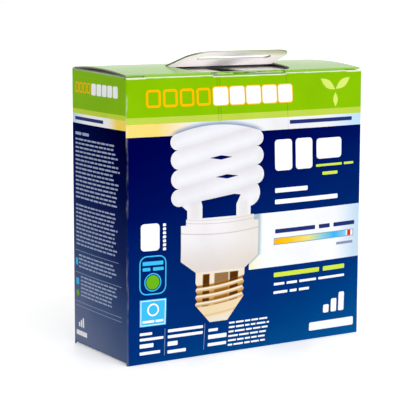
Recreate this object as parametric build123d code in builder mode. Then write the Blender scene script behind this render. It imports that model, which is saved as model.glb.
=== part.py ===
"""Retail folding carton for two small spiral lamps, with a tuck lid and a pop-up hang tab.

The carton stands on its bottom panel. X runs along the front, -Y is the front, +Z is up,
and the origin is the middle of the bottom. All sizes are in millimetres.
"""

import os
from math import asin, atan, cos, degrees, hypot, radians, sin, sqrt

from build123d import *

os.makedirs("parts", exist_ok=True)

# Sleeve: four panels folded from one sheet of board
width = 122.0
depth = 48.8
front_height = 122.0
back_rise = 2.2
board = 0.5
fold_radius = 0.8
fold_bevel = 0.5
front_bulge = 3.9
side_bulge = 0.9
edge_bulge = 0.05
bulge_steps = 5

# Glue seam down the inside of the back, and the dust flaps under the lid
seam_width = 13.0
seam_end_gap = 4.0
dust_flap_length = 55.0
dust_flap_setback = 2.5

# Lid with its tuck flap
lid_side_gap = 0.3
lid_clearance = 0.35
hinge_gap = 0.3
crown_rise = 0.5
front_fold_rise = 0.9
front_fold_radius = 0.9
tuck_depth = 13.0
tuck_side_gap = 2.5
tuck_corner = 8.0
tuck_extra_lean = 2.0
slit_lock_length = 9.0
slit_lock_height = 0.45
press_in_width = 38.0
press_in_drop = 0.5
press_in_gap = 0.35

# Hang tab, cut from the front half of the lid and raised about its middle line
tab_hinge_y = 0.6
tab_length = 22.4
tab_base_width = 56.4
tab_tip_width = 51.0
tab_corner = 9.0
tab_raise = 18.3
tab_kerf = 0.35
slot_length = 38.0
slot_width = 5.0
slot_from_hinge = 13.2

# Bottom closure
bottom_side_gap = 0.5
bottom_tuck_depth = 14.0
bottom_tuck_gap = 0.2
bottom_flap_length = 40.0
bottom_flap_gap = 0.35
bottom_flap_rise = 1.0

# Print: thin fields of ink on the outer faces
ink = 0.12
ink_gap = 0.08
ink_fold_gap = 0.8
print_fold = 0.3
green_width = 16.7
stripe_width = 2.8
cream_width = 5.3
side_green_width = 15.7
side_stripe_width = 2.1
side_cream_width = 4.2
panel_top = 60.9
panel_bottom = 36.3
panel_width = 63.0
scale_width = 45.8
scale_from_edge = 4.2
scale_top = 49.0
scale_bottom = 46.5
marker_width = 2.0
marker_from_edge = 5.4

# Picture of a spiral lamp on the front, measured from its own middle line
picture_from_edge = 43.1
coil_half_width = 23.1
coil_notch_depth = 3.6
coil_pitch = 8.3
coil_lowest_notch = 74.4
coil_turns = 4
crown_half_width = 20.6
crown_shoulder = 3.0
crown_height = 3.2
foot_notch_x = 18.2
foot_lobe_bottom = 67.1
leg_left_x = -11.9
leg_right_x = 12.4
leg_width = 7.3
leg_flare = 2.2
leg_flare_height = 4.6
underside_left = 68.7
underside_right = 70.8
housing_x = 0.9
housing_top = 61.2
housing_rim_width = 34.0
housing_width = 38.8
housing_shoulder = 58.6
housing_taper = 43.0
housing_bottom = 37.6
cap_x = 1.2
cap_width = 24.6
cap_groove = 1.0
cap_ridges = 4
cap_neck = 4.6
cap_ridge_pitch = 3.2
cap_slant = 0.08
cap_tip_width = 9.0
cap_tip_height = 8.4
gap_low_x = 4.1
gap_high_x = 1.3
gap_width = 11.4
gap_height = 1.9

half_width = width / 2
half_depth = depth / 2
back_height = front_height + back_rise
sleeve_top = back_height - board / 2
hinge_y = half_depth - board / 2
hinge_z = sleeve_top
far = 2 * (width + depth + back_height)


def sleeve_form(inset):
    """Filled form of the bulged sleeve, every face moved in by inset and its upright folds bevelled."""
    half_x = half_width - inset
    half_y = half_depth - inset
    with BuildPart() as form:
        for step in range(bulge_steps + 1):
            share = step / bulge_steps
            swell = 4 * share * (1 - share)
            front = edge_bulge + (front_bulge - edge_bulge) * swell
            side = edge_bulge + (side_bulge - edge_bulge) * swell
            with BuildSketch(Plane.XY.offset(share * sleeve_top)) as section:
                with BuildLine():
                    ThreePointArc((-half_x, -half_y), (0, -half_y - front), (half_x, -half_y))
                    ThreePointArc((half_x, -half_y), (half_x + side, 0), (half_x, half_y))
                    ThreePointArc((half_x, half_y), (0, half_y + front), (-half_x, half_y))
                    ThreePointArc((-half_x, half_y), (-half_x - side, 0), (-half_x, -half_y))
                make_face()
                chamfer(section.vertices(), fold_bevel)
        loft(ruled=True)
    return form.part


def bounds_block(low, high):
    """Block between two opposite corners."""
    size = [b - a for a, b in zip(low, high)]
    middle = [(a + b) / 2 for a, b in zip(low, high)]
    with BuildPart() as block:
        with Locations(Location(tuple(middle))):
            Box(*size)
    return block.part


# Sides of the sleeve stop below the lid, which is a little lower in front than behind
side_front_top = front_height
side_back_top = back_height - board - lid_clearance
side_slope = (side_back_top - side_front_top) / depth


def side_top(y):
    """Height of the side panels' top folds at a place along the depth."""
    return side_front_top + side_slope * (y + half_depth)


# Dome of the lid: an arc over the hinge end, the tab's hinge line and the front fold
lid_back_y = hinge_y - board / 2 - hinge_gap
fold_face_y = -half_depth + board + lid_clearance
fold_centre_y = fold_face_y + front_fold_radius
front_top = front_height + front_fold_rise
tab_hinge_top = back_height + crown_rise


def circle_through(a, b, c):
    """Centre and radius of the circle through three points of a plane."""
    d = 2 * (a[0] * (b[1] - c[1]) + b[0] * (c[1] - a[1]) + c[0] * (a[1] - b[1]))
    sa, sb, sc = (p[0] ** 2 + p[1] ** 2 for p in (a, b, c))
    x = (sa * (b[1] - c[1]) + sb * (c[1] - a[1]) + sc * (a[1] - b[1])) / d
    y = (sa * (c[0] - b[0]) + sb * (a[0] - c[0]) + sc * (b[0] - a[0])) / d
    return (x, y), hypot(a[0] - x, a[1] - y)


dome, dome_radius = circle_through(
    (lid_back_y, back_height), (tab_hinge_y, tab_hinge_top), (fold_centre_y, front_top)
)
fold_centre_z = dome[1] + sqrt((dome_radius - front_fold_radius) ** 2 - (fold_centre_y - dome[0]) ** 2)
dome_end_angle = degrees(asin((fold_centre_z - dome[1]) / (dome_radius - front_fold_radius)))
tuck_radius = hypot(hinge_y - fold_face_y, hinge_z - front_height)
tuck_lean = degrees(asin(tuck_depth / (2 * tuck_radius))) + tuck_extra_lean


def dome_point(y, shift=0.0):
    """Height of the dome at y, shifted outward from its outer face."""
    radius = dome_radius + shift
    return dome[1] + sqrt(radius**2 - (y - dome[0]) ** 2)


def lid_strip(shift, thickness, back_y):
    """Lid and tuck section from back_y on, a strip about a line shifted out from the lid's outer face."""
    radius = dome_radius + shift
    bend = front_fold_radius + shift
    middle_y = (back_y + fold_centre_y) / 2
    end_angle = radians(180 - dome_end_angle)
    dome_end = (dome[0] + radius * cos(end_angle), dome[1] + radius * sin(end_angle))
    tuck_angle = 180 + tuck_lean
    tuck_start = (
        fold_centre_y + bend * cos(radians(tuck_angle)),
        fold_centre_z + bend * sin(radians(tuck_angle)),
    )
    tuck_end = (
        tuck_start[0] + tuck_depth * sin(radians(tuck_lean)),
        tuck_start[1] - tuck_depth * cos(radians(tuck_lean)),
    )
    fold_middle = radians((180 - dome_end_angle + tuck_angle) / 2)
    bend_middle = (fold_centre_y + bend * cos(fold_middle), fold_centre_z + bend * sin(fold_middle))
    with BuildSketch(Plane.YZ) as strip:
        with BuildLine() as path:
            ThreePointArc(
                (back_y, dome_point(back_y, shift)), (middle_y, dome_point(middle_y, shift)), dome_end
            )
            ThreePointArc(dome_end, bend_middle, tuck_start)
            Line(tuck_start, tuck_end)
        trace(path.line, thickness)
    return strip.sketch


def tab_outline(grow):
    """Outline of the hang tab, across and along from its hinge line, grown by a kerf."""
    with BuildSketch() as outline:
        with BuildLine():
            Polyline(
                (-tab_base_width / 2 - grow, 0),
                (tab_base_width / 2 + grow, 0),
                (tab_tip_width / 2 + grow, tab_length + grow),
                (-tab_tip_width / 2 - grow, tab_length + grow),
                close=True,
            )
        make_face()
        fillet(outline.vertices().group_by(Axis.Y)[-1], tab_corner)
    return outline.sketch


# The folded sheet: sleeve, seam, dust flaps and the closed bottom
seam_low = (-half_width, 0, seam_end_gap)
seam_high = (-half_width + seam_width, depth, front_height - seam_end_gap)
seam_block = bounds_block(seam_low, seam_high)

side_cut_front = -half_depth + board + lid_clearance
side_cut_back = half_depth - board
bottom_fold_z = board + bottom_flap_gap

# Cutter that ends the panels: the front's raw top edge with its press-in part a little lower,
# and the side panels' folds, sloping above and level below
with BuildPart() as sleeve_trim:
    with Locations((0, -half_depth, front_height + far / 2)):
        Box(far, 2 * (fold_radius + front_bulge), far)
    with Locations((0, -half_depth, front_height)):
        Box(press_in_width, 2 * (fold_radius + front_bulge), 2 * press_in_drop)
    with BuildSketch(Plane.YZ):
        with BuildLine():
            Polyline(
                (side_cut_front, side_top(side_cut_front) - fold_radius),
                (side_cut_back, side_top(side_cut_back) - fold_radius),
                (side_cut_back, far),
                (side_cut_front, far),
                close=True,
            )
        make_face()
    extrude(amount=far, both=True)
    with Locations((0, (side_cut_front + side_cut_back) / 2, 0)):
        Box(far, side_cut_back - side_cut_front, 2 * (bottom_fold_z + fold_radius))

with BuildPart() as carton_body:
    add(sleeve_form(0.0))
    add(sleeve_form(board) - seam_block, mode=Mode.SUBTRACT)
    add(sleeve_form(2 * board) & seam_block, mode=Mode.SUBTRACT)
    add(sleeve_trim.part, mode=Mode.SUBTRACT)

    # Dust flaps fold in from the sides
    flap_front = -half_depth + dust_flap_setback
    flap_back = half_depth - 2 * board - lid_clearance
    slope = atan(side_slope)
    flap_plane = Plane(
        origin=(0, flap_back, side_top(flap_back)), x_dir=(1, 0, 0), z_dir=(0, -cos(slope), -sin(slope))
    )
    for side in (-1, 1):
        wall_x = side * (half_width - board / 2)
        tip_x = side * (half_width - dust_flap_length)
        with BuildSketch(flap_plane):
            with BuildLine() as flap_path:
                fold_line = Polyline((wall_x, -2 * fold_radius), (wall_x, -board / 2), (tip_x, -board / 2))
                fillet(fold_line.vertices()[1], fold_radius - board / 2)
            trace(flap_path.line, board)
        extrude(amount=flap_back - flap_front)

    # Bottom dust flaps, just above the bottom panel
    for side in (-1, 1):
        wall_x = side * (half_width - board / 2)
        tip_x = side * (half_width - bottom_flap_length)
        fold_z = bottom_fold_z + board / 2
        with BuildSketch(Plane.XZ.offset(-flap_back)):
            with BuildLine() as bottom_flap_path:
                fold_line = Polyline(
                    (wall_x, fold_z + 2 * fold_radius), (wall_x, fold_z), (tip_x, fold_z + bottom_flap_rise)
                )
                fillet(fold_line.vertices()[1], fold_radius - board / 2)
            trace(bottom_flap_path.line, board)
        extrude(amount=flap_back - flap_front)

    # Bottom panel, folded from the back panel and tucked up behind the front panel
    bottom_back_y = half_depth - board / 2
    bottom_front_y = -half_depth + board + bottom_tuck_gap + board / 2
    with BuildSketch(Plane.YZ):
        with BuildLine() as bottom_path:
            bottom_line = Polyline(
                (bottom_back_y, 2 * fold_radius),
                (bottom_back_y, board / 2),
                (bottom_front_y, board / 2),
                (bottom_front_y, bottom_tuck_depth),
            )
            fillet(bottom_line.vertices()[1:3], fold_radius - board / 2)
        trace(bottom_path.line, board)
    extrude(amount=half_width - fold_radius - bottom_side_gap, both=True)

    # Rounded crease that the lid folds about
    with BuildSketch(Plane.YZ):
        with Locations((hinge_y, hinge_z)):
            Circle(board / 2)
    extrude(amount=half_width - lid_side_gap - fold_radius, both=True)
carton_body.part.label = "carton_body"

# Lid panel and tuck flap, one folded piece
lid_half = half_width - lid_side_gap
tuck_half = half_width - tuck_side_gap
tuck_bottom = front_height - tuck_depth - 2 * board


# Cutter for the tab's opening, the slits and the tuck's outline in the lid
slit_top = dome_point(fold_centre_y) - board
with BuildPart() as lid_trim:
    with BuildSketch(Plane.XY.offset(front_height - 2 * front_fold_rise)):
        with Locations(Location((0, tab_hinge_y, 0), (0, 0, 180))):
            add(tab_outline(tab_kerf))
        with Locations((0, tab_hinge_y + board / 2 + hinge_gap - board)):
            Rectangle(tab_base_width + 2 * tab_kerf, 2 * board)
    extrude(amount=far)
    with Locations((0, fold_face_y, front_height + press_in_gap)):
        Box(press_in_width, 2 * front_fold_radius, press_in_gap)
    for end in (-1, 1):
        with Locations((end * (half_width - slit_lock_length / 2), fold_face_y, slit_top - slit_lock_height)):
            Box(slit_lock_length, 2 * front_fold_radius, 2 * slit_lock_height)
        with Locations((end * (tuck_half + half_width / 2), fold_face_y, tuck_bottom)):
            Box(half_width, tuck_depth, 2 * (slit_top - tuck_bottom))
        corner_x = end * tuck_half
        inner_x = end * (tuck_half - tuck_corner)
        low_z = fold_centre_z - tuck_depth
        with BuildSketch(Plane.XZ):
            with BuildLine():
                Line((inner_x, low_z), (inner_x, low_z - tuck_corner))
                Line((inner_x, low_z - tuck_corner), (corner_x, low_z - tuck_corner))
                Line((corner_x, low_z - tuck_corner), (corner_x, low_z + tuck_corner))
                RadiusArc((corner_x, low_z + tuck_corner), (inner_x, low_z), end * tuck_corner)
            make_face()
        extrude(amount=half_depth)

with BuildPart() as lid:
    extrude(lid_strip(-board / 2, board, lid_back_y), amount=lid_half, dir=(1, 0, 0), both=True)
    add(lid_trim.part, mode=Mode.SUBTRACT)
lid.part.label = "lid"

with BuildPart() as lid_print:
    print_strip = lid_strip(ink_gap + ink / 2, ink, lid_back_y - ink_fold_gap)
    extrude(print_strip, amount=lid_half, dir=(1, 0, 0), both=True)
    add(lid_trim.part, mode=Mode.SUBTRACT)
lid_print.part.label = "lid_print"

# Hang tab with its slot, hinged on the lid's middle line
raise_angle = radians(tab_raise)
tab_normal = (0, -sin(raise_angle), -cos(raise_angle))
tab_axis_z = tab_hinge_top - board / 2
tab_plane = Plane(origin=(0, tab_hinge_y, tab_axis_z), x_dir=(1, 0, 0), z_dir=tab_normal)


def tab_face():
    """Tab outline with its slot, on the tab's own plane."""
    with BuildSketch() as face:
        add(tab_outline(0.0))
        with Locations((0, slot_from_hinge)):
            SlotOverall(slot_length, slot_width, mode=Mode.SUBTRACT)
    return face.sketch


with BuildPart() as hang_tab:
    with BuildSketch(tab_plane):
        add(tab_face())
    extrude(amount=board / 2, both=True)
    with BuildSketch(Plane.YZ):
        with Locations((tab_hinge_y, tab_axis_z)):
            Circle(board / 2)
    extrude(amount=tab_base_width / 2, both=True)
hang_tab.part.label = "hang_tab"

with BuildPart() as hang_tab_print:
    with BuildSketch(tab_plane.offset(-board / 2 - ink_gap)):
        add(tab_face())
        with Locations((0, ink_fold_gap / 2)):
            Rectangle(tab_base_width, ink_fold_gap, mode=Mode.SUBTRACT)
    extrude(amount=-ink)
hang_tab_print.part.label = "hang_tab_print"

# Print: every field is a piece of a skin of ink around the sleeve, and the picture lies on a second skin
with BuildPart() as field_skin:
    add(sleeve_form(-ink_gap - ink))
    add(sleeve_form(-ink_gap), mode=Mode.SUBTRACT)
    add(sleeve_trim.part, mode=Mode.SUBTRACT)

with BuildPart() as picture_skin:
    add(sleeve_form(-2 * (ink_gap + ink)))
    add(sleeve_form(-2 * ink_gap - ink), mode=Mode.SUBTRACT)

main_face = half_depth - print_fold


def front_block(left, right, low, high):
    """Block over part of the front."""
    return bounds_block((left, -half_depth - far, low), (right, -main_face, high))


def band_blocks(front_low, front_high, side_low, side_high):
    """Blocks over a band that runs round all four panels, at its own height on the sides."""
    front = front_block(-far, far, front_low, min(front_high, hinge_z - ink_fold_gap))
    sides = bounds_block((-far, -main_face, side_low), (far, main_face, side_high))
    return front + front.rotate(Axis.Z, 180) + sides


# Outlines of the pictured lamp, across from its middle line and up
notch_x = coil_half_width - coil_notch_depth
notch_heights = [coil_lowest_notch + turn * coil_pitch for turn in range(coil_turns - 1)]
top_notch = notch_heights[-1]
crown_low = top_notch + coil_pitch - crown_shoulder / 2
leg_left = (leg_left_x - leg_width / 2, leg_left_x + leg_width / 2)
leg_right = (leg_right_x - leg_width / 2, leg_right_x + leg_width / 2)
flare_low = foot_lobe_bottom - leg_flare
with BuildSketch() as glass_outline:
    with BuildLine():
        for side in (-1, 1):
            for low in notch_heights[:-1]:
                ThreePointArc(
                    (side * notch_x, low),
                    (side * coil_half_width, low + coil_pitch / 2),
                    (side * notch_x, low + coil_pitch),
                )
            ThreePointArc(
                (side * notch_x, top_notch),
                (side * coil_half_width, top_notch + coil_pitch / 2),
                (side * crown_half_width, crown_low),
            )
        ThreePointArc(
            (-crown_half_width, crown_low), (0, crown_low + crown_height), (crown_half_width, crown_low)
        )
        ThreePointArc(
            (-notch_x, coil_lowest_notch),
            (-coil_half_width, coil_lowest_notch - coil_pitch / 2),
            (-foot_notch_x, foot_lobe_bottom),
        )
        Polyline(
            (-foot_notch_x, foot_lobe_bottom),
            (leg_left[0], flare_low),
            (leg_left[0], housing_top),
            (leg_left[1], housing_top),
            (leg_left[1], underside_left - leg_flare),
            (leg_left[1] - leg_flare / 4, underside_left),
            (leg_right[0] - leg_flare / 2, underside_right),
            (leg_right[0] + leg_flare, underside_right - leg_flare / 4),
            (leg_right[0], underside_right - leg_flare_height),
            (leg_right[0], housing_top),
            (leg_right[1], housing_top),
            (leg_right[1], flare_low),
        )
        ThreePointArc(
            (leg_right[1], flare_low),
            (coil_half_width - leg_flare, coil_lowest_notch - coil_pitch / 2 + leg_flare / 2),
            (notch_x, coil_lowest_notch),
        )
    make_face()
    for gap_x, low in ((gap_low_x, notch_heights[0]), (gap_high_x, notch_heights[1])):
        gap_z = low + coil_pitch / 2
        with BuildLine():
            Polyline(
                (gap_x - gap_width / 2, gap_z),
                (gap_x, gap_z - gap_height / 2),
                (gap_x + gap_width / 2, gap_z),
                (gap_x, gap_z + gap_height / 2),
                close=True,
            )
        make_face(mode=Mode.SUBTRACT)

with BuildSketch() as housing_outline:
    with BuildLine():
        Polyline(
            (housing_x - housing_rim_width / 2, housing_top),
            (housing_x - housing_rim_width / 2, housing_shoulder),
            (housing_x - housing_width / 2, housing_shoulder),
            (housing_x - housing_width / 2, housing_taper),
            (cap_x - cap_width / 2, housing_bottom),
            (cap_x + cap_width / 2, housing_bottom),
            (housing_x + housing_width / 2, housing_taper),
            (housing_x + housing_width / 2, housing_shoulder),
            (housing_x + housing_rim_width / 2, housing_shoulder),
            (housing_x + housing_rim_width / 2, housing_top),
            close=True,
        )
    make_face()


def cap_side(side):
    """Ridged edge of the screw cap on one side, from the housing down, at the slant of its thread."""
    crest = cap_x + side * cap_width / 2
    groove = crest - side * cap_groove
    rise = side * cap_slant * cap_width / 2
    points = [(crest, housing_bottom)]
    for ridge in range(cap_ridges):
        height = housing_bottom - cap_neck - ridge * cap_ridge_pitch + rise
        points.append((crest, height + cap_ridge_pitch / 4))
        points.append((groove, height - cap_ridge_pitch / 4))
    return points[:-1]


cap_left = cap_side(-1)
cap_right = cap_side(1)
tip_z = cap_left[-1][1] - cap_tip_height
with BuildSketch() as cap_outline:
    with BuildLine():
        Polyline(
            *cap_left,
            (cap_x - cap_tip_width / 2, tip_z),
            (cap_x + cap_tip_width / 2, tip_z),
            *reversed(cap_right),
            close=True,
        )
    make_face()


def picture_block(outline):
    """Outline pushed through the front panel at the picture's place."""
    picture_plane = Plane(origin=(picture_from_edge - half_width, 0, 0), x_dir=(1, 0, 0), z_dir=(0, -1, 0))
    return extrude(picture_plane * outline.sketch, amount=half_depth + 2 * front_bulge)


# Heights and places of the fields, from the top fold and the right edge
front_green_bottom = front_height - green_width
front_stripe_bottom = front_green_bottom - stripe_width
front_navy_top = front_stripe_bottom - cream_width
side_green_bottom = front_height - side_green_width
side_stripe_bottom = side_green_bottom - side_stripe_width
side_navy_top = side_stripe_bottom - side_cream_width
panel_left = half_width - panel_width
scale_right = half_width - scale_from_edge
scale_left = scale_right - scale_width
marker_right = half_width - marker_from_edge
marker_left = marker_right - marker_width

scale_blocks = front_block(scale_left, marker_left, scale_bottom, scale_top)
scale_blocks = scale_blocks + front_block(marker_right, scale_right, scale_bottom, scale_top)
marker_block = front_block(marker_left, marker_right, scale_bottom, scale_top)
panel_block = front_block(panel_left, far, panel_bottom, panel_top)
fields = {
    "print_green": band_blocks(front_green_bottom, far, side_green_bottom, far),
    "print_stripe": band_blocks(
        front_stripe_bottom, front_green_bottom, side_stripe_bottom, side_green_bottom
    ),
    "print_cream": band_blocks(front_navy_top, front_stripe_bottom, side_navy_top, side_stripe_bottom),
    "print_navy": band_blocks(-far, front_navy_top, -far, side_navy_top) - panel_block,
    "print_panel": panel_block - scale_blocks - marker_block,
    "print_scale": scale_blocks,
    "print_marker": marker_block,
}
pictures = {
    "picture_glass": picture_block(glass_outline),
    "picture_housing": picture_block(housing_outline),
    "picture_cap": picture_block(cap_outline),
}
printed = []
for skin, group in ((field_skin, fields), (picture_skin, pictures)):
    for label, blocks in group.items():
        with BuildPart() as field:
            add(skin.part)
            add(blocks, mode=Mode.INTERSECT)
        field.part.label = label
        printed.append(field)

for piece in [carton_body, lid, lid_print, hang_tab, hang_tab_print] + printed:
    export_step(piece.part, f"parts/{piece.part.label}.step")
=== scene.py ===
"""Light bulb carton: camera, light, printed board materials and the small print on its panels."""

import random
from math import cos, pi, radians, sin

import bmesh
import bpy
from mathutils import Matrix, Vector
from mathutils.bvhtree import BVHTree


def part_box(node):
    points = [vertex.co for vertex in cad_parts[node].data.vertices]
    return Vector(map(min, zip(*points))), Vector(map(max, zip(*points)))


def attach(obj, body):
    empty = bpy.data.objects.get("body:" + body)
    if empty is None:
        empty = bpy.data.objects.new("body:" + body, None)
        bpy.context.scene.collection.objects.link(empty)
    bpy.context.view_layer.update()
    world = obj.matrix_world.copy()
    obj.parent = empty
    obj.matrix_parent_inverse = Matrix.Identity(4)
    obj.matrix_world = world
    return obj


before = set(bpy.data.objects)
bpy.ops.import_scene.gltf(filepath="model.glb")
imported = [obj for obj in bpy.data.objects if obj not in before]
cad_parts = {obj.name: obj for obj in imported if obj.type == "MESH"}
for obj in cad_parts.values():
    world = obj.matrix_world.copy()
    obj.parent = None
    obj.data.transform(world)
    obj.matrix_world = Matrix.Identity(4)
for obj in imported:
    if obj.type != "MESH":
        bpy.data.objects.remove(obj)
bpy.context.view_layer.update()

MM = 0.001

# Places from the frame, and half the carton's width and depth between its upright folds
body_low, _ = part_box("carton_body")
scale_low, scale_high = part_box("print_scale")
housing_low, housing_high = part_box("picture_housing")
half_width = 61.0 * MM
half_depth = 24.4 * MM

# Middle line of the pictured lamp, and how far its housing and its screw cap stand right of it
HOUSING_OFFSET = 0.9 * MM
CAP_OFFSET = 1.2 * MM
picture_x = (housing_low.x + housing_high.x) / 2 - HOUSING_OFFSET


# Colours are written as they look on screen, from 0 to 255
def colour(red, green, blue):
    """Linear colour with alpha from a screen colour."""
    channels = []
    for value in (red, green, blue):
        share = value / 255
        channels.append(share / 12.92 if share <= 0.04045 else ((share + 0.055) / 1.055) ** 2.4)
    return (*channels, 1.0)


GREEN = colour(134, 190, 0)
LID_GREEN = colour(132, 192, 8)
STRIPE = colour(188, 209, 74)
AMBER = colour(255, 216, 120)
SIDE_AMBER = colour(255, 224, 96)
WHITE = colour(234, 234, 238)
SIDE_WHITE = colour(252, 252, 255)
PALE_BLUE = colour(190, 220, 250)
SHADOW_BLUE = colour(96, 134, 176)
NAVY_BOTTOM = colour(0, 66, 130)
BOARD = colour(240, 238, 234)
# Pale ink wear with painted highlight along the upright folds
BOARD_DARK = colour(234, 232, 227)
FOLD_WEAR_HIGHLIGHT_COLOUR = colour(246, 246, 240)
# Raw board edge with painted highlight of the fold behind it
PALE_EDGE_AND_HIGHLIGHT = colour(226, 234, 202)
# Painted shade on the lid's raw end edges
LID_EDGE_SHADE = colour(62, 60, 50)
PERFORATION = colour(46, 84, 20)
# Painted shade in the lid's slit
SLIT_SHADE = colour(34, 38, 14)
SIDE_STRIPE = colour(200, 221, 62)
RED = colour(226, 40, 24)
BLACK = colour(0, 0, 0)


class Shader:
    """Node tree of one material, with the short forms that the paints use."""

    def __init__(self, name):
        self.material = bpy.data.materials.new(name)
        self.material.use_nodes = True
        self.tree = self.material.node_tree
        self.surface = self.tree.nodes["Principled BSDF"]
        coordinates = self.tree.nodes.new("ShaderNodeTexCoord")
        self.place = coordinates.outputs["Object"]
        self.x, self.y, self.z = self.parts(self.place)
        self.facing = coordinates.outputs["Normal"]

    def parts(self, vector):
        """The three parts of a vector socket."""
        node = self.tree.nodes.new("ShaderNodeSeparateXYZ")
        self.feed(node.inputs[0], vector)
        return node.outputs[0], node.outputs[1], node.outputs[2]

    def feed(self, socket, value):
        """Links a socket to another, or gives it a value."""
        if isinstance(value, bpy.types.NodeSocket):
            self.tree.links.new(value, socket)
        else:
            socket.default_value = value

    def math(self, operation, first, second=0.0):
        """One step of arithmetic."""
        node = self.tree.nodes.new("ShaderNodeMath")
        node.operation = operation
        self.feed(node.inputs[0], first)
        self.feed(node.inputs[1], second)
        return node.outputs[0]

    def plus(self, first, second):
        """Sum of two values."""
        return self.math("ADD", first, second)

    def minus(self, first, second):
        """Difference of two values."""
        return self.math("SUBTRACT", first, second)

    def times(self, first, *others):
        """Product of values."""
        for other in others:
            first = self.math("MULTIPLY", first, other)
        return first

    def over(self, first, second):
        """Quotient of two values."""
        return self.math("DIVIDE", first, second)

    def size(self, value):
        """Value without its sign."""
        return self.math("ABSOLUTE", value)

    def larger(self, first, second):
        """Larger of two values."""
        return self.math("MAXIMUM", first, second)

    def rise(self, value, low, high):
        """Smooth step from 0 at low to 1 at high, or the other way round if high is lower."""
        node = self.tree.nodes.new("ShaderNodeMapRange")
        node.interpolation_type = "SMOOTHSTEP"
        self.feed(node.inputs["Value"], value)
        ends = (low, high, 0.0, 1.0) if low < high else (high, low, 1.0, 0.0)
        for socket, end in zip(("From Min", "From Max", "To Min", "To Max"), ends):
            node.inputs[socket].default_value = end
        return node.outputs["Result"]

    def mix(self, share, first, second):
        """Mix of two colours."""
        node = self.tree.nodes.new("ShaderNodeMix")
        node.data_type = "RGBA"
        self.feed(node.inputs["Factor"], share)
        self.feed(node.inputs["A"], first)
        self.feed(node.inputs["B"], second)
        return node.outputs["Result"]

    def noise(self, scale, detail, stretch=(1, 1, 1)):
        """Noise over the object, with scale in cells for each metre."""
        mapping = self.tree.nodes.new("ShaderNodeMapping")
        mapping.inputs["Scale"].default_value = stretch
        self.feed(mapping.inputs["Vector"], self.place)
        node = self.tree.nodes.new("ShaderNodeTexNoise")
        self.feed(node.inputs["Vector"], mapping.outputs[0])
        node.inputs["Scale"].default_value = scale
        node.inputs["Detail"].default_value = detail
        return node.outputs["Fac"]

    def ramp(self, value, stops):
        """Colour ramp over a value, with stops of place and colour in the value's own range."""
        low, high = stops[0][0], stops[-1][0]
        node = self.tree.nodes.new("ShaderNodeValToRGB")
        elements = node.color_ramp.elements
        elements[0].position = 0.0
        elements[0].color = stops[0][1]
        elements[1].position = 1.0
        elements[1].color = stops[-1][1]
        for place, stop_colour in stops[1:-1]:
            elements.new((place - low) / (high - low)).color = stop_colour
        share = self.over(self.minus(value, low), high - low)
        self.feed(node.inputs["Fac"], share)
        return node.outputs["Color"]

    def bump(self, height, distance, strength, under=None):
        """Bump from a height socket, in metres, over another bump if one is given."""
        node = self.tree.nodes.new("ShaderNodeBump")
        node.inputs["Distance"].default_value = distance
        node.inputs["Strength"].default_value = strength
        self.feed(node.inputs["Height"], height)
        if under is not None:
            self.feed(node.inputs["Normal"], under)
        return node.outputs["Normal"]


# Printed and varnished board: noise in cells for each metre, heights in metres
FIBRE_SCALE = 1400
FIBRE_HEIGHT = 0.012 * MM
WAVE_SCALE = 16
WAVE_HEIGHT = 0.5 * MM
MOTTLE_SCALE = 55
MOTTLE_DEPTH = 0.07
SMEAR_SCALE = 30
SMEAR_ROUGHNESS = 0.1
# Pale patches along the upright folds, partly ink wear and partly painted highlight
WEAR_HIGHLIGHT_SCALE = 300
WEAR_HIGHLIGHT_REACH = 0.7 * MM
WEAR_HIGHLIGHT_INSET = 0.1 * MM
COAT_ROUGHNESS = 0.12

# Roughness, specular level, wear and painted highlight along the folds, and coat weight of an ink
PLAIN_INK = (0.36, 0.02, 0.35, 0.0)
NAVY_INK = (0.36, 0.0, 0.2, 0.0)
LID_INK = (0.24, 0.4, 0.0, 0.2)
TEXT_INK = (0.36, 0.02, 0.0, 0.0)


def fold_wear_and_highlight(shader):
    """Pale places along the upright folds: ink cracked a little, and a painted highlight on the
    crisp folds.
    """
    near_x = shader.rise(shader.size(shader.x), half_width - WEAR_HIGHLIGHT_REACH, half_width - WEAR_HIGHLIGHT_INSET)
    near_y = shader.rise(shader.size(shader.y), half_depth - WEAR_HIGHLIGHT_REACH, half_depth - WEAR_HIGHLIGHT_INSET)
    patches = shader.rise(shader.noise(WEAR_HIGHLIGHT_SCALE, 3.0, (1, 1, 0.35)), 0.45, 0.72)
    return shader.times(near_x, near_y, patches)


def printed(name, paint, finish=PLAIN_INK):
    """Ink under varnish on board, with a paint function for its colour and one of the finishes."""
    roughness, specular, wear_and_highlight, coat = finish
    shader = Shader(name)
    base = paint(shader)
    mottle = shader.rise(shader.noise(MOTTLE_SCALE, 4.0), 0.3, 0.75)
    base = shader.mix(shader.times(mottle, MOTTLE_DEPTH), base, BLACK)
    # Pale fold wear with painted highlight
    base = shader.mix(shader.times(fold_wear_and_highlight(shader), wear_and_highlight), base, FOLD_WEAR_HIGHLIGHT_COLOUR)
    shader.feed(shader.surface.inputs["Base Color"], base)
    smears = shader.times(shader.noise(SMEAR_SCALE, 3.0, (1, 1, 2.5)), SMEAR_ROUGHNESS)
    rough = shader.plus(roughness - SMEAR_ROUGHNESS / 2, smears)
    shader.feed(shader.surface.inputs["Roughness"], rough)
    shader.surface.inputs["Specular IOR Level"].default_value = specular
    shader.surface.inputs["Coat Weight"].default_value = coat
    shader.surface.inputs["Coat Roughness"].default_value = COAT_ROUGHNESS
    waves = shader.bump(shader.noise(WAVE_SCALE, 1.0), WAVE_HEIGHT, 0.3)
    fibres = shader.bump(shader.noise(FIBRE_SCALE, 2.0), FIBRE_HEIGHT, 0.5, waves)
    shader.feed(shader.surface.inputs["Normal"], fibres)
    return shader.material


def flat(tint):
    """Paint of one colour."""
    return lambda shader: tint


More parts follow.
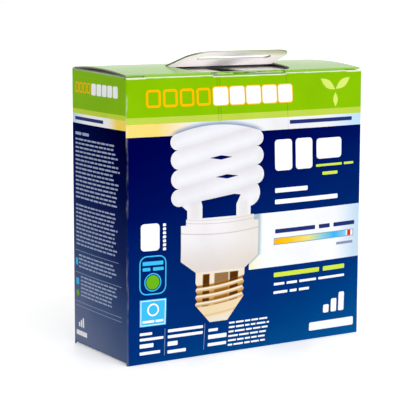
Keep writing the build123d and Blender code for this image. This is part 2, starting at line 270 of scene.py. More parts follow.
def turned(shader):
    """1 on the front and left side, -1 on the back and right side, where the print is turned."""
    share_x = shader.over(shader.x, half_width)
    share_y = shader.over(shader.y, half_depth)
    return shader.math("SIGN", shader.minus(shader.times(share_x, -1.0), share_y))


def around(shader):
    """Distance from the front's left fold, on along the front and back along the left side."""
    across = shader.times(shader.minus(shader.x, shader.y), turned(shader))
    return shader.plus(across, half_width - half_depth)


def on_front(shader):
    """1 on the front panel, 0 elsewhere."""
    return shader.rise(shader.y, -half_depth + 0.4 * MM, -half_depth - 0.05 * MM)


# Perforated lines: places in millimetres, step of the dots, and where a dot ends and is full
PERFORATIONS = (-17.2, -15.9, 18.9)
PERFORATION_STEP = 0.9 * MM
DOT_END = 0.26 * MM
DOT_FULL = 0.1 * MM


def perforated(shader, base, depth):
    """Base with the front's upright dotted lines of fine perforations pressed into it."""
    dots = shader.math("FRACT", shader.over(shader.z, PERFORATION_STEP))
    dots = shader.times(shader.rise(dots, 0.62, 0.4), on_front(shader))
    for place in PERFORATIONS:
        offset = shader.size(shader.minus(shader.x, place * MM))
        mask = shader.times(shader.rise(offset, DOT_END, DOT_FULL), dots, depth)
        base = shader.mix(mask, base, PERFORATION)
    return base


# Front's pale top line, raw board edge and painted highlight of the fold behind it: its height, the
# drops at the press-in part and slit locks, unevenness
EDGE_AND_HIGHLIGHT_HEIGHT = 121.7 * MM
PRESSED_DROP = 0.5 * MM
LOCK_DROP = 0.25 * MM
EDGE_SCALE = 260
EDGE_UNEVEN = 0.5 * MM


def green_paint(shader):
    """Green, with a pale line along the top of the front: the raw board edge and a painted
    highlight on the fold.
    """
    across = shader.size(shader.x)
    uneven = shader.times(shader.noise(EDGE_SCALE, 3.0), EDGE_UNEVEN)
    height = shader.plus(shader.z, uneven)
    pressed = shader.times(shader.rise(across, 19.4 * MM, 18.8 * MM), PRESSED_DROP)
    locks = shader.times(shader.rise(across, 51.5 * MM, 52.5 * MM), LOCK_DROP)
    height = shader.plus(height, shader.plus(pressed, locks))
    # Pale line: raw board edge and painted highlight
    edge = shader.times(shader.rise(height, EDGE_AND_HIGHLIGHT_HEIGHT, EDGE_AND_HIGHLIGHT_HEIGHT + 0.2 * MM), on_front(shader))
    return shader.mix(edge, perforated(shader, GREEN, 0.75), PALE_EDGE_AND_HIGHLIGHT)


# Slit above the press-in part: low and high edge, front face, half length, break-up and depth of
# the painted shade in it
SLIT_LOW = 122.1 * MM
SLIT_HIGH = 122.8 * MM
SLIT_FRONT = -23.2 * MM
SLIT_HALF = 19.0 * MM
SLIT_SCALE = 240
SLIT_SHADE_DEPTH = 0.7


def lid_paint(shader):
    """Green of the lid, with painted shade along the slit above the press-in part, most so at its
    left end.
    """
    below = shader.rise(shader.z, SLIT_HIGH + 0.3 * MM, SLIT_HIGH)
    above = shader.rise(shader.z, SLIT_LOW - 0.2 * MM, SLIT_LOW)
    front = shader.rise(shader.y, SLIT_FRONT + 0.6 * MM, SLIT_FRONT)
    across = shader.rise(shader.size(shader.x), SLIT_HALF + 0.4 * MM, SLIT_HALF)
    broken = shader.rise(shader.noise(SLIT_SCALE, 2.0, (1, 0.2, 0.2)), 0.44, 0.6)
    left_end = shader.rise(shader.x, -15.6 * MM, -16.6 * MM)
    # Painted shade in the slit, broken up, full at its left end
    depth = shader.larger(shader.times(broken, SLIT_SHADE_DEPTH), left_end)
    return shader.mix(shader.times(above, below, front, across, depth), LID_GREEN, SLIT_SHADE)


def stripe_paint(shader):
    """Light green stripe, a little yellower on the sides, with the perforations on the front."""
    base = shader.mix(on_front(shader), SIDE_STRIPE, STRIPE)
    return perforated(shader, base, 0.5)


# Cream band, by the distance from the front's left fold
CREAM_STOPS = (
    (-49 * MM, PALE_BLUE),
    (-37 * MM, SIDE_WHITE),
    (-17 * MM, SIDE_WHITE),
    (-8 * MM, SIDE_AMBER),
    (-0.4 * MM, SIDE_AMBER),
    (0.4 * MM, AMBER),
    (15 * MM, AMBER),
    (35 * MM, WHITE),
    (103 * MM, WHITE),
    (118 * MM, PALE_BLUE),
    (122 * MM, PALE_BLUE),
)

# Arc of the pictured coil's crown, and the width of the blue shadow along it
CROWN_RADIUS = 67.9 * MM
CROWN_CENTRE = 33.1 * MM
CROWN_SHADOW = 2.4 * MM


def cream_paint(shader):
    """Cream band: pale blue to white to amber round the left fold, and a shadow at the lamp."""
    base = perforated(shader, shader.ramp(around(shader), CREAM_STOPS), 0.3)
    across = shader.minus(shader.x, picture_x)
    up = shader.minus(shader.z, CROWN_CENTRE)
    squares = shader.plus(shader.times(across, across), shader.times(up, up))
    beyond = shader.minus(shader.math("SQRT", squares), CROWN_RADIUS)
    width = shader.rise(shader.size(across), 25 * MM, 19 * MM)
    mask = shader.times(shader.rise(beyond, CROWN_SHADOW, 0.0), width, on_front(shader), 0.8)
    return shader.mix(mask, base, SHADOW_BLUE)


# Navy by height: its unevenness, its fall to the right, and on the sides a painted reflection of
# the floor that grows down and to the rear
NAVY_SCALE = 34
NAVY_UNEVEN = 8 * MM
NAVY_FALL = 0.28
SHEEN_FALL = 0.62
NAVY_STOPS = (
    (-20 * MM, colour(8, 88, 152)),
    (8 * MM, colour(0, 62, 128)),
    (22 * MM, colour(2, 48, 119)),
    (63 * MM, colour(0, 30, 100)),
    (80 * MM, colour(0, 14, 88)),
    (108 * MM, colour(0, 2, 74)),
)
# Painted reflection of the white floor on the sides, greyer down and to the rear
SIDE_SHEEN_STOPS = (
    (-20 * MM, colour(116, 128, 160)),
    (5 * MM, colour(80, 96, 134)),
    (21 * MM, colour(56, 76, 118)),
    (42 * MM, colour(26, 40, 92)),
    (70 * MM, colour(4, 16, 68)),
    (96 * MM, colour(2, 0, 50)),
)


def navy_paint(shader):
    """Navy: lighter down and to the right, and on the sides a painted reflection, greyer down and
    to the rear.
    """
    uneven = shader.times(shader.minus(shader.noise(NAVY_SCALE, 2.0), 0.5), NAVY_UNEVEN)
    height = shader.plus(shader.z, uneven)
    turn = turned(shader)
    across = shader.times(shader.x, turn)
    main = shader.minus(height, shader.times(across, NAVY_FALL))
    behind = shader.plus(shader.times(shader.y, turn), half_depth)
    # Height for the painted reflection on the sides
    side = shader.minus(height, shader.times(behind, SHEEN_FALL))
    outward = shader.size(shader.x)
    on_side = shader.rise(outward, half_width - 0.6 * MM, half_width + 0.1 * MM)
    return shader.mix(on_side, shader.ramp(main, NAVY_STOPS), shader.ramp(side, SIDE_SHEEN_STOPS))


# Light panel: height below which the housing beside it tapers, how fast, and the colours
TAPER_TOP = 43 * MM
TAPER_SLOPE = 1.26
PANEL_WHITE = colour(243, 244, 250)
PANEL_BLUE = colour(196, 219, 238)
PANEL_YELLOW = colour(248, 242, 200)
PANEL_SHADOW = colour(120, 160, 170)


def panel_paint(shader):
    """White panel: pale blue to its right, yellow at its low left, shaded beside the lamp."""
    blue = shader.rise(shader.x, 44 * MM, 60 * MM)
    base = shader.mix(blue, PANEL_WHITE, PANEL_BLUE)
    taper = shader.larger(shader.minus(TAPER_TOP, shader.z), 0.0)
    reach = shader.plus(shader.x, shader.times(taper, TAPER_SLOPE))
    beside = shader.minus(reach, housing_high.x)
    low = shader.rise(shader.z, 44 * MM, 36 * MM)
    left = shader.rise(beside, 10 * MM, 3 * MM)
    base = shader.mix(shader.times(low, left), base, PANEL_YELLOW)
    mask = shader.times(shader.rise(beside, 2.6 * MM, 0.0), 0.75)
    return shader.mix(mask, base, PANEL_SHADOW)


# Colour scale, by the share of its length
SCALE_STOPS = (
    (0.0, colour(255, 180, 0)),
    (0.2, colour(252, 200, 20)),
    (0.42, colour(235, 225, 120)),
    (0.58, colour(140, 208, 214)),
    (0.75, colour(52, 176, 236)),
    (0.9, colour(120, 205, 245)),
    (0.93, colour(246, 250, 255)),
    (1.0, colour(246, 250, 255)),
)


def scale_paint(shader):
    """Colour scale from amber over yellow and sky blue to white."""
    share = shader.over(shader.minus(shader.x, scale_low.x), scale_high.x - scale_low.x)
    return shader.ramp(share, SCALE_STOPS)


# Pictured coil: height of a turn, slant and start, the colours over one turn, and its two legs
COIL_PITCH = 8.3 * MM
COIL_SLOPE = 0.213
COIL_START = 78.55 * MM
COIL_STOPS = (
    (0.0, colour(222, 219, 224)),
    (0.16, colour(229, 228, 235)),
    (0.4, colour(235, 235, 242)),
    (0.7, colour(229, 228, 234)),
    (0.9, colour(225, 222, 227)),
    (1.0, colour(222, 219, 224)),
)
COIL_RIM = colour(230, 229, 233)
LEG_PLACES = (-11.9 * MM, 12.4 * MM)
LEG_EDGE = colour(238, 236, 239)
LEG_MIDDLE = colour(229, 226, 228)


def glass_paint(shader):
    """Spiral tube: soft grey lines between slanting turns, pale rims and legs a little warmer."""
    across = shader.minus(shader.x, picture_x)
    height = shader.minus(shader.z, shader.times(across, COIL_SLOPE))
    height = shader.minus(height, COIL_START)
    turn = shader.math("FRACT", shader.over(height, COIL_PITCH))
    base = shader.ramp(turn, COIL_STOPS)
    rim = shader.rise(shader.size(across), 19.0 * MM, 21.5 * MM)
    base = shader.mix(rim, base, COIL_RIM)
    legs = shader.rise(shader.z, 70 * MM, 66 * MM)
    for place in LEG_PLACES:
        offset = shader.size(shader.minus(across, place))
        tube = shader.mix(shader.rise(offset, 3.4 * MM, 1.0 * MM), LEG_EDGE, LEG_MIDDLE)
        near = shader.rise(offset, 5.4 * MM, 5.0 * MM)
        base = shader.mix(shader.times(legs, near), base, tube)
    return base


# Pictured housing: half width, colours, bow, and lines by height and half width in mm and depth
HOUSING_HALF = 19 * MM
HOUSING_TOP = colour(235, 233, 236)
HOUSING_LOW = colour(218, 207, 198)
HOUSING_RIGHT = colour(224, 213, 202)
HOUSING_LINE = colour(198, 182, 173)
HOUSING_BOW = 1.3 * MM
HOUSING_LINES = ((53.9, 0.34, 0.8), (58.5, 0.3, 0.6), (60.0, 0.26, 0.45))


def housing_paint(shader):
    """Housing: white with warm shade below and to the right, ledges above and a curved seam."""
    across = shader.minus(shader.x, picture_x + HOUSING_OFFSET)
    across = shader.over(across, HOUSING_HALF)
    down = shader.rise(shader.z, 54 * MM, 38 * MM)
    side = shader.rise(across, -0.2, 1.0)
    base = shader.mix(shader.times(down, 0.75), HOUSING_TOP, HOUSING_LOW)
    base = shader.mix(shader.times(side, 0.5), base, HOUSING_RIGHT)
    bow = shader.times(across, across, HOUSING_BOW)
    for height, half, depth in HOUSING_LINES:
        line = shader.minus(shader.z, shader.plus(bow, height * MM))
        mask = shader.rise(shader.size(line), half * MM, 0.08 * MM)
        base = shader.mix(shader.times(mask, depth), base, HOUSING_LINE)
    return base


# Pictured screw cap: height of a turn, slant, bow, a crest's height, share of a turn below it
CAP_PITCH = 3.2 * MM
CAP_SLANT = 0.08
CAP_BOW = 0.7 * MM
CAP_CREST = 30.9 * MM
CAP_LEAD = 0.21
CAP_STOPS = (
    (0.0, colour(222, 186, 132)),
    (0.1, colour(244, 234, 224)),
    (0.24, colour(244, 234, 226)),
    (0.33, colour(196, 146, 76)),
    (0.48, colour(158, 104, 32)),
    (0.7, colour(204, 156, 84)),
    (1.0, colour(222, 186, 132)),
)
CAP_NECK = colour(240, 226, 204)
CAP_TIP = colour(240, 218, 178)
CAP_SEAM = colour(224, 176, 110)
CAP_FOOT = colour(240, 228, 208)
CAP_BROWN = colour(84, 44, 0)

# Its reflections: place and half width in millimetres, depth on the ridges, tint, depth on the neck
CAP_COLUMNS = (
    (-7.1, 1.7, 1.0, CAP_BROWN, 1.0),
    (0.6, 3.6, 0.8, colour(132, 84, 10), 0.9),
    (6.9, 2.2, 1.0, CAP_BROWN, 1.0),
)


def cap_paint(shader):
    """Screw shell: pale crests that slant up to the right, gold between, brown reflections."""
    across = shader.minus(shader.x, picture_x + CAP_OFFSET)
    bent = shader.over(shader.plus(across, 3 * MM), 12 * MM)
    bow = shader.times(bent, bent, CAP_BOW)
    slant = shader.plus(shader.times(across, CAP_SLANT), bow)
    level = shader.minus(shader.z, slant)
    start = CAP_CREST - CAP_LEAD * CAP_PITCH
    turn = shader.math("FRACT", shader.over(shader.minus(level, start), CAP_PITCH))
    base = shader.ramp(turn, CAP_STOPS)
    neck = shader.rise(level, 32.3 * MM, 32.7 * MM)
    base = shader.mix(neck, base, CAP_NECK)
    shade = shader.times(shader.rise(turn, 0.34, 0.42), shader.rise(turn, 0.86, 0.76))
    above = shader.rise(level, 20.6 * MM, 21.0 * MM)
    below = shader.rise(level, 32.8 * MM, 32.5 * MM)
    block = shader.times(neck, shader.rise(shader.z, 36.8 * MM, 36.4 * MM))
    for place, half, ridges, tint, top in CAP_COLUMNS:
        offset = shader.size(shader.minus(across, place * MM))
        inside = shader.rise(offset, (half + 0.35) * MM, (half - 0.35) * MM)
        mask = shader.times(shade, above, below, ridges)
        mask = shader.larger(mask, shader.times(block, top))
        base = shader.mix(shader.times(inside, mask), base, tint)
    tip = shader.rise(level, 23.2 * MM, 22.4 * MM)
    base = shader.mix(tip, base, CAP_TIP)
    line = shader.size(shader.minus(level, 18.6 * MM))
    seam = shader.times(shader.rise(line, 0.7 * MM, 0.1 * MM), 0.5)
    base = shader.mix(seam, base, CAP_SEAM)
    return shader.mix(shader.rise(level, 18.2 * MM, 16.8 * MM), base, CAP_FOOT)


# Noise between the two tints of bare board, on the body and inside
BODY_SCALE = 500
INSIDE_SCALE = 420


def board_paint(shader):
    """Board: pale inside, green on the folds to the dust flaps, navy on the low folds and below."""
    fibre = shader.noise(BODY_SCALE, 4.0, (1, 1, 0.4))
    board = shader.mix(shader.rise(fibre, 0.3, 0.7), BOARD_DARK, BOARD)
    up = shader.parts(shader.facing)[2]
    outward = shader.rise(shader.size(shader.x), half_width - 0.7 * MM, half_width - 0.3 * MM)
    top_fold = shader.times(shader.rise(shader.z, 118 * MM, 119 * MM), outward)
    under = shader.times(shader.rise(shader.z, 2 * MM, 1 * MM), shader.rise(up, -0.3, -0.6))
    low_fold = shader.times(shader.rise(shader.z, 3.2 * MM, 2.8 * MM), outward)
    navy = shader.larger(under, low_fold)
    return shader.mix(navy, shader.mix(top_fold, board, LID_GREEN), NAVY_BOTTOM)


def inside_paint(shader):
    """Unprinted side of the board, a little uneven."""
    fibre = shader.noise(INSIDE_SCALE, 4.0, (0.4, 1, 1))
    return shader.mix(shader.rise(fibre, 0.3, 0.7), BOARD_DARK, BOARD)


def lid_board_paint(shader):
    """Unprinted side of the lid, with painted shade on the raw edges at its two ends."""
    side = shader.size(shader.parts(shader.facing)[0])
    # Painted shade on the end edges
    mask = shader.times(shader.rise(side, 0.6, 0.8), 0.85)
    return shader.mix(mask, inside_paint(shader), LID_EDGE_SHADE)


# Up and 18.3 degrees forward, which the tab's two faces lie nearer to than its edges do
FACE_MEASURE = (0, -0.314, 0.9494)

# Tints of the tab's bare board, with painted shade towards its free right corner and on its edges
TAB_PALE = colour(240, 230, 238)
# Painted greenish shade towards the free right corner
TAB_GREEN_SHADE = colour(180, 183, 150)
# Painted shade on the tab's edges
TAB_EDGE_SHADE = colour(112, 110, 90)


def tab_paint(shader):
    """Unprinted side of the tab, with painted greenish shade towards its free right corner and
    painted shade on its edges.
    """
    board = shader.mix(0.6, inside_paint(shader), TAB_PALE)
    out = shader.rise(shader.y, -12 * MM, -20 * MM)
    right = shader.rise(shader.x, -20 * MM, 24 * MM)
    # Painted greenish shade towards the free right corner
    board = shader.mix(shader.times(out, right), board, TAB_GREEN_SHADE)
    _, facing_y, facing_z = shader.parts(shader.facing)
    forward_part = shader.times(facing_y, FACE_MEASURE[1])
    flat_part = shader.plus(forward_part, shader.times(facing_z, FACE_MEASURE[2]))
    # Painted shade on the edges
    edge = shader.rise(shader.size(flat_part), 0.7, 0.4)
    return shader.mix(edge, board, TAB_EDGE_SHADE)


# Bare board: least roughness, its spread and noise, specular level, fibre height and noise
BARE_ROUGHNESS = 0.57
BARE_SPREAD = 0.1
BARE_SCALE = 60
BARE_SPECULAR = 0.3
BARE_FIBRE = 0.02 * MM
BARE_FIBRE_SCALE = 900


def bare_board(name, paint):
    """Bare paperboard: rough, with fine fibres."""
    shader = Shader(name)
    shader.feed(shader.surface.inputs["Base Color"], paint(shader))
    spread = shader.times(shader.noise(BARE_SCALE, 2.0), BARE_SPREAD)
    rough = shader.plus(spread, BARE_ROUGHNESS)
    shader.feed(shader.surface.inputs["Roughness"], rough)
    shader.surface.inputs["Specular IOR Level"].default_value = BARE_SPECULAR
    height = shader.noise(BARE_FIBRE_SCALE, 4.0, (1, 1, 0.5))
    fibres = shader.bump(height, BARE_FIBRE, 0.6)
    shader.feed(shader.surface.inputs["Normal"], fibres)
    return shader.material


materials = {
    "carton_body": bare_board("carton_board", board_paint),
    "lid": bare_board("lid_board", lid_board_paint),
    "hang_tab": bare_board("tab_board", tab_paint),
    "lid_print": printed("lid_green", lid_paint, LID_INK),
    "hang_tab_print": printed("tab_green", flat(LID_GREEN), LID_INK),
    "print_green": printed("green_ink", green_paint),
    "print_stripe": printed("stripe_ink", stripe_paint),
    "print_cream": printed("cream_ink", cream_paint),
    "print_navy": printed("navy_ink", navy_paint, NAVY_INK),
    "print_panel": printed("white_ink", panel_paint),
    "print_scale": printed("scale_ink", scale_paint),
    "print_marker": printed("red_ink", flat(RED)),
    "picture_glass": printed("glass_ink", glass_paint),
    "picture_housing": printed("housing_ink", housing_paint),
    "picture_cap": printed("cap_ink", cap_paint),
}
for node, dressing in materials.items():
    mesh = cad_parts[node].data
    mesh.materials.clear()
    mesh.materials.append(dressing)


# Small print: how far it lies off the print below, its thickness, its grid, where rays start
LIFT = 0.05 * MM
PATCH = 0.03 * MM
GRID = 3.1 * MM
OUT = 200 * MM


def panel_tree(prefixes):
    """Search tree over the outer meshes whose names start with the given words."""
    verts, faces = [], []
    for name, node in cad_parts.items():
        if name.startswith(prefixes):
            start = len(verts)
            verts += [v.co.copy() for v in node.data.vertices]
            faces += [[start + i for i in face.vertices] for face in node.data.polygons]
    return BVHTree.FromPolygons(verts, faces)


carton_tree = panel_tree(("print_", "picture_"))

# How a flat drawing lies on a panel: its low left corner, direction across and direction inward
PANELS = {
    "front": (Vector((-half_width, -OUT, 0)), Vector((1, 0, 0)), Vector((0, 1, 0))),
    "side": (Vector((-OUT, half_depth, 0)), Vector((0, -1, 0)), Vector((1, 0, 0))),
}


def print_patches(name, ink, panel, outlines, lift=LIFT):
    """One piece of flat outlines, in millimetres across and up, laid on a panel of the carton."""
    origin, across, inward = PANELS[panel]
    sheet = bmesh.new()
    for outline in outlines:
        sheet.faces.new([sheet.verts.new((a * MM, 0, z * MM)) for a, z in outline])
    bmesh.ops.remove_doubles(sheet, verts=sheet.verts[:], dist=0.001 * MM)
    for axis in (0, 2):
        low = min(v.co[axis] for v in sheet.verts)
        high = max(v.co[axis] for v in sheet.verts)
        for step in range(int(low / GRID), int(high / GRID) + 1):
            point, normal = Vector(), Vector()
            point[axis] = step * GRID
            normal[axis] = 1.0
            everything = sheet.verts[:] + sheet.edges[:] + sheet.faces[:]
            bmesh.ops.bisect_plane(sheet, geom=everything, plane_co=point, plane_no=normal)
    bmesh.ops.triangulate(sheet, faces=sheet.faces[:])
    for vert in sheet.verts:
        start = origin + across * vert.co.x + Vector((0, 0, vert.co.z))
        vert.co = carton_tree.ray_cast(start, inward)[0] - inward * lift
    for face in sheet.faces:
        face.normal_update()
        if face.normal.dot(inward) > 0:
            face.normal_flip()
    mesh = bpy.data.meshes.new(name)
    sheet.to_mesh(mesh)
    sheet.free()
    piece = bpy.data.objects.new(name, mesh)
    bpy.context.scene.collection.objects.link(piece)
    thick = piece.modifiers.new("thickness", "SOLIDIFY")
    thick.thickness = PATCH
    thick.offset = -1.0
    mesh.materials.append(ink)
    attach(piece, "carton")


CORNER_STEPS = 5


def pill(left, right, bottom, top, corner):
    """Outline of a bar with round corners."""
    radius = min(right - left, top - bottom, 2 * corner) / 2
    points = []
    corners = (
        (right - radius, bottom + radius, -90),
        (right - radius, top - radius, 0),
        (left + radius, top - radius, 90),
        (left + radius, bottom + radius, 180),
    )
    for x, z, start in corners:
        for step in range(CORNER_STEPS + 1):
            angle = radians(start + 90 * step / CORNER_STEPS)
            points.append((x + radius * cos(angle), z + radius * sin(angle)))
    return points


def bar(left, right, bottom, top):
    """Plain bar."""
    return [(left, bottom), (right, bottom), (right, top), (left, top)]


def ring(left, right, bottom, top, width, corner):
    """Quads of a frame with round corners, as wide as given all round."""
    outer = pill(left, right, bottom, top, corner)
    corner = max(corner - width, 0.05)
    inner = pill(left + width, right - width, bottom + width, top - width, corner)
    quads = []
    for i in range(len(outer)):
        after = (i + 1) % len(outer)
        quads.append([outer[i], outer[after], inner[after], inner[i]])
    return quads


LEAF_STEPS = 8


def leaf(x, z, length, width, turn):
    """Pointed leaf shape, turned by an angle in degrees."""
    points = []
    for side in (1, -1):
        for step in range(LEAF_STEPS):
            share = step / LEAF_STEPS
            along = side * length * (0.5 - share)
            away = side * width / 2 * sin(pi * share)
            points.append((along, away))
    c, s = cos(radians(turn)), sin(radians(turn))
    return [(x + c * a - s * b, z + s * a + c * b) for a, b in points]


# Space between two words, in letters
WORD_GAP = 0.7

# Words of small print, shortest and longest, and the space after them, in line heights
WORD_LENGTHS = (2.5, 6.5)
LINE_GAP = 0.8


def word_row(left, right, bottom, top, words, fill=0.6):
    """Row of bars at middle height, one for each word, given the letters in the words."""
    unit = (right - left) / (sum(words) + WORD_GAP * (len(words) - 1))
    half = (top - bottom) * fill / 2
    middle = (top + bottom) / 2
    bars, place = [], left
    for letters in words:
        end = place + letters * unit
        bars.append(pill(place, end, middle - half, middle + half, 0.35 * half))
        place += (letters + WORD_GAP) * unit
    return bars


def text_lines(seed, left, right, bottom, top, lines, fill, ragged):
    """Lines of small print, drawn as bars as long as words."""
    draw = random.Random(seed)
    spacing = (top - bottom) / lines
    height = spacing * fill
    bars = []
    for line in range(lines):
        base = top - line * spacing - height
        end = right - ragged * (right - left) * draw.random()
        place = left
        while place < end - 1.5 * height:
            length = min(draw.uniform(*WORD_LENGTHS) * height, end - place)
            bars.append(pill(place, place + length, base, base + height, 0.3 * height))
            place += length + LINE_GAP * height
    return bars


def ink(name, *tint):
    """Ink of one screen colour."""
    return printed(name, flat(colour(*tint)), TEXT_INK)


white = ink("text_white", 252, 252, 255)
amber = ink("text_amber", 255, 186, 0)
pale_green = ink("text_pale_green", 206, 230, 70)
swirl = ink("motif_green", 214, 232, 110)
navy = ink("text_navy", 34, 48, 112)
sky = ink("sky_blue", 60, 190, 242)
grey = ink("text_grey", 132, 146, 176)
side_grey = ink("side_text", 160, 172, 204)
leaf_green = ink("leaf_green", 104, 178, 24)

# All outlines below are in millimetres, across from the panel's left fold and up from the bottom

# Front: title place in the green band, in thin amber frames and bold white blocks with amber rims
TITLE = (109.2, 116.8)
RIM = 0.45
frames, rims, blocks = [], [], []
for left in (8.9 + 8.1 * k for k in range(4)):
    frames += ring(left, left + 7.0, *TITLE, 1.1, 1.5)
for left in (41.6 + 8.4 * k for k in range(5)):
    right = left + 7.4
    rims += ring(left - RIM, right + RIM, TITLE[0] - RIM, TITLE[1] + RIM, RIM, 1.45)
    blocks.append(pill(left, right, *TITLE, 1.1))
print_patches("title_frames", amber, "front", frames)
print_patches("title_rims", amber, "front", rims)
print_patches("title_blocks", white, "front", blocks)
sprig = [leaf(102.6, 116.2, 9.5, 3.6, 148), leaf(111.0, 116.4, 9.5, 3.6, 32)]
sprig += [leaf(106.8, 109.2, 6.4, 2.6, 90)]
print_patches("sprig", swirl, "front", sprig)
print_patches("subtitle", navy, "front", word_row(80.8, 116.4, 98.9, 101.7, (12,), 0.6))

# Front: figure place and the lines below it
figure = [pill(72.4, 81.8, 79.2, 92.9, 1.6), pill(83.8, 93.2, 79.2, 92.9, 1.6)]
figure += [pill(95.6, 110.2, 83.0, 92.2, 1.6)]
print_patches("figure", white, "front", figure)
use = word_row(95.3, 117.6, 79.2, 80.9, (8, 3), 0.62) + word_row(99.0, 107.9, 75.1, 77.5, (3,))
print_patches("use_lines", pale_green, "front", use)
room = word_row(72.3, 90.4, 69.0, 72.0, (5,), 0.66) + word_row(72.3, 108.2, 63.9, 67.0, (10,), 0.66)
print_patches("room_lines", white, "front", room)

# Front: light panel with its title, the frame of the scale and a small figure
panel_title = word_row(72.5, 118.9, 50.6, 54.0, (7, 2, 4), 0.55)
print_patches("panel_title", navy, "front", panel_title)
scale_frame = ring(71.9, 118.4, 46.2, 49.3, 0.3, 0.1)
print_patches("scale_frame", grey, "front", scale_frame)
scale_figure = word_row(108.0, 118.0, 42.4, 44.4, (5,), 0.6)
print_patches("scale_figure", grey, "front", scale_figure)

# Front: saving lines and the generic mark below them
saving_title = word_row(72.6, 113.2, 30.9, 34.1, (8, 4), 0.64)
print_patches("saving_title", pale_green, "front", saving_title)
saving = word_row(72.8, 113.3, 27.4, 29.1, (3, 3, 5, 8), 0.66)
saving += word_row(72.8, 92.7, 23.5, 25.3, (4, 2, 3), 0.66)
print_patches("saving_lines", white, "front", saving)
mark = [pill(101.6, 104.8, 11.6, 15.4, 0.7), pill(106.0, 109.2, 11.6, 17.8, 0.7)]
mark += [pill(110.4, 113.6, 11.6, 20.4, 0.7)]
mark += word_row(94.0, 119.4, 3.2, 8.6, (5,), 0.72)
print_patches("mark", white, "front", mark)

# Front: left column with a count, two badges and the small columns along the bottom
count = [pill(6.0, 14.6, 49.0, 60.6, 1.6)]
count += [pill(16.2, 17.6, 48.8 + 1.72 * k, 50.0 + 1.72 * k, 0.3) for k in range(7)]
print_patches("count", white, "front", count)
badge = ring(5.3, 17.9, 30.0, 46.9, 0.55, 3.4) + word_row(6.8, 16.4, 42.4, 44.8, (4,), 0.7)
badge += text_lines(15, 6.8, 16.6, 40.2, 41.8, 1, 0.9, 0.0) + ring(7.6, 15.6, 31.4, 39.4, 0.5, 4.0)
print_patches("badge", sky, "front", badge)
print_patches("badge_disc", leaf_green, "front", [pill(8.5, 14.7, 32.3, 38.5, 3.1)])
print_patches("label", sky, "front", [bar(5.5, 18.1, 16.3, 28.0)])
label_lines = ring(5.9, 17.7, 16.7, 27.6, 0.3, 0.1) + ring(9.0, 14.6, 20.6, 26.2, 0.7, 2.8)
label_lines += word_row(6.8, 16.8, 17.6, 19.2, (6, 4), 0.66)
print_patches("label_lines", white, "front", label_lines, LIFT + 1.5 * PATCH)


# Small rows of a column: width of a letter, and how much of its height a row fills
LETTER_WIDTH = 0.62
ROW_FILL = 0.74


def column(left, right, bottom, top, rows):
    """Column of small rows, each with its share of the height and the letters in its word."""
    blocks, place = [], top
    total = sum(share for share, _ in rows)
    for share, letters in rows:
        height = (top - bottom) * share / total
        end = left + min(letters * height * LETTER_WIDTH, right - left)
        blocks += word_row(left, end, place - ROW_FILL * height, place, (letters,), 0.66)
        place -= height
    return blocks


columns = column(5.6, 17.0, 3.0, 14.0, ((0.8, 4), (0.8, 8), (1.2, 3), (0.9, 6)))
columns += column(19.2, 36.6, 2.0, 14.2, ((0.8, 12), (0.8, 11), (1.2, 2), (0.9, 5)))
columns += column(39.5, 49.0, 2.6, 12.0, ((0.8, 3), (1.2, 5), (0.9, 6)))
columns += text_lines(50, 50.0, 71.6, 1.4, 13.6, 6, 0.4, 0.12)
print_patches("bottom_columns", white, "front", columns)
rules = [bar(17.6, 17.85, 2.6, 14.6), bar(37.4, 37.65, 2.6, 14.4)]
print_patches("bottom_rules", grey, "front", rules)

# Left side: the title place and subtitle, the small print with its rules and icons, and the mark
side_frames, side_blocks = [], []
for left in (3.4 + 3.7 * k for k in range(4)):
    side_frames += ring(left, left + 3.2, 113.4, 118.0, 0.7, 0.9)
for left in (18.6 + 4.8 * k for k in range(5)):
    side_blocks.append(pill(left, left + 4.1, 113.0, 118.0, 0.8))
print_patches("side_title_frames", amber, "side", side_frames)
print_patches("side_title_blocks", white, "side", side_blocks)
side_subtitle = word_row(3.0, 29.6, 101.0, 103.4, (12,), 0.6)
print_patches("side_subtitle", navy, "side", side_subtitle)
side_text = text_lines(61, 3.2, 16.6, 94.6, 96.2, 1, 0.8, 0.0)
side_text += text_lines(62, 3.2, 44.4, 66.0, 93.4, 15, 0.42, 0.14)
side_text += text_lines(63, 3.2, 43.6, 45.0, 64.2, 11, 0.42, 0.14)
side_text += text_lines(64, 5.6, 41.0, 35.0, 41.8, 4, 0.42, 0.2)
side_text += text_lines(65, 7.4, 43.2, 22.2, 32.2, 6, 0.42, 0.2)
side_text += [bar(2.2, 42.4, 43.3, 43.5), bar(2.0, 44.6, 33.3, 33.5)]
side_text += [bar(1.8, 44.4, 20.1, 20.3), bar(1.8, 44.4, 18.2, 18.4)]
print_patches("side_text", side_grey, "side", side_text)
icons = [pill(2.4, 4.6, 36.6, 39.8, 0.3), pill(2.6, 5.4, 27.8, 30.8, 0.5)]
print_patches("side_icons", sky, "side", icons)
print_patches("side_disc", leaf_green, "side", [pill(2.6, 5.4, 22.6, 25.4, 1.4)])
side_mark = [pill(4.6, 5.9, 8.8, 10.8, 0.3), pill(6.5, 7.8, 8.8, 12.0, 0.3)]
side_mark += [pill(8.4, 9.7, 8.8, 13.2, 0.3)]
side_mark += word_row(2.2, 12.4, 4.4, 7.4, (5,), 0.72)
print_patches("side_mark", white, "side", side_mark)

scene = bpy.context.scene

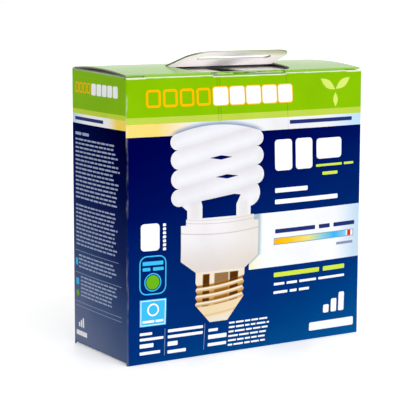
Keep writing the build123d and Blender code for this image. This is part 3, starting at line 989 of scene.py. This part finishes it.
# Camera at the photograph's viewpoint, with angles in radians and lens and sensor in millimetres
CAMERA_LENS = 127.49
CAMERA_SENSOR = 36.0
CAMERA_PLACE = Vector((-358.4, -561.2, 161.6)) * MM
CAMERA_YAW = -0.5623
CAMERA_PITCH = 0.1528
CAMERA_ROLL = 0.0037
camera_data = bpy.data.cameras.new("camera")
camera_data.lens = CAMERA_LENS
camera_data.sensor_width = CAMERA_SENSOR
camera_data.clip_start = 0.05
camera_data.clip_end = 100.0
camera = bpy.data.objects.new("camera", camera_data)
scene.collection.objects.link(camera)
scene.camera = camera
level_right = Vector((cos(CAMERA_YAW), sin(CAMERA_YAW), 0))
level_forward = Vector((-sin(CAMERA_YAW), cos(CAMERA_YAW), 0))
forward = level_forward * cos(CAMERA_PITCH) - Vector((0, 0, sin(CAMERA_PITCH)))
upward = level_forward * sin(CAMERA_PITCH) + Vector((0, 0, cos(CAMERA_PITCH)))
camera_right = level_right * cos(CAMERA_ROLL) + upward * sin(CAMERA_ROLL)
camera_up = upward * cos(CAMERA_ROLL) - level_right * sin(CAMERA_ROLL)
turn = Matrix((camera_right, camera_up, -forward)).transposed().to_4x4()
camera.matrix_world = Matrix.Translation(CAMERA_PLACE) @ turn

# White world and floor for the camera and for reflections, with dimmer soft light on the object
WORLD_LIGHT = 0.66
FLOOR_GLOW = 0.4
FLOOR_WHITE = 0.86
FLOOR_ROUGHNESS = 0.45
FLOOR_SPECULAR = 0.25
FLOOR_REACH = 9.0
FLOOR_GAP = 0.05 * MM


def seen_directly(tree):
    """1 for camera, glossy and transmission rays, 0 for others."""
    path = tree.nodes.new("ShaderNodeLightPath")
    total = path.outputs["Is Camera Ray"]
    for ray in ("Is Glossy Ray", "Is Transmission Ray"):
        node = tree.nodes.new("ShaderNodeMath")
        node.operation = "MAXIMUM"
        tree.links.new(total, node.inputs[0])
        tree.links.new(path.outputs[ray], node.inputs[1])
        total = node.outputs[0]
    return total


world = bpy.data.worlds.new("world")
scene.world = world
world.use_nodes = True
world_tree = world.node_tree
background = world_tree.nodes["Background"]
background.inputs["Color"].default_value = (1, 1, 1, 1)
strength = world_tree.nodes.new("ShaderNodeMapRange")
strength.inputs["To Min"].default_value = WORLD_LIGHT
strength.inputs["To Max"].default_value = 1.0
world_tree.links.new(seen_directly(world_tree), strength.inputs["Value"])
world_tree.links.new(strength.outputs["Result"], background.inputs["Strength"])

floor_mesh = bpy.data.meshes.new("floor")
floor_signs = ((-1, -1), (1, -1), (1, 1), (-1, 1))
floor_corners = [(a * FLOOR_REACH, b * FLOOR_REACH, 0) for a, b in floor_signs]
floor_mesh.from_pydata(floor_corners, [], [(0, 1, 2, 3)])
floor = bpy.data.objects.new("floor", floor_mesh)
floor.location.z = body_low.z - FLOOR_GAP
scene.collection.objects.link(floor)
floor_material = bpy.data.materials.new("floor")
floor_material.use_nodes = True
floor_tree = floor_material.node_tree
floor_surface = floor_tree.nodes["Principled BSDF"]
floor_surface.inputs["Base Color"].default_value = (FLOOR_WHITE, FLOOR_WHITE, FLOOR_WHITE, 1)
floor_surface.inputs["Roughness"].default_value = FLOOR_ROUGHNESS
floor_surface.inputs["Specular IOR Level"].default_value = FLOOR_SPECULAR
floor_surface.inputs["Emission Color"].default_value = (1, 1, 1, 1)
glow = floor_tree.nodes.new("ShaderNodeMath")
glow.operation = "MULTIPLY"
glow.inputs[1].default_value = FLOOR_GLOW
floor_tree.links.new(seen_directly(floor_tree), glow.inputs[0])
floor_tree.links.new(glow.outputs[0], floor_surface.inputs["Emission Strength"])
floor_mesh.materials.append(floor_material)


def sun(name, toward, strength, spread):
    """Soft sun that shines from a direction, with its light as a share of full white."""
    data = bpy.data.lights.new(name, "SUN")
    data.energy = strength * pi
    data.angle = radians(spread)
    lamp = bpy.data.objects.new(name, data)
    lamp.rotation_euler = Vector(toward).to_track_quat("Z", "Y").to_euler()
    scene.collection.objects.link(lamp)
    return lamp


sun("key", (0.2, -0.72, 0.65), 0.26, 30)
sun("fill", (-0.3, -1.0, 0.16), 0.26, 20)

# Reflector card below the raised tab, for its shaded inner face only
card = sun("card", (0.05, 0.0, -1.0), 0.46, 40)
tab_group = bpy.data.collections.new("tab_group")
tab_group.objects.link(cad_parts["hang_tab"])
card.light_linking.receiver_collection = tab_group
card.light_linking.blocker_collection = tab_group

scene.view_settings.view_transform = "Standard"
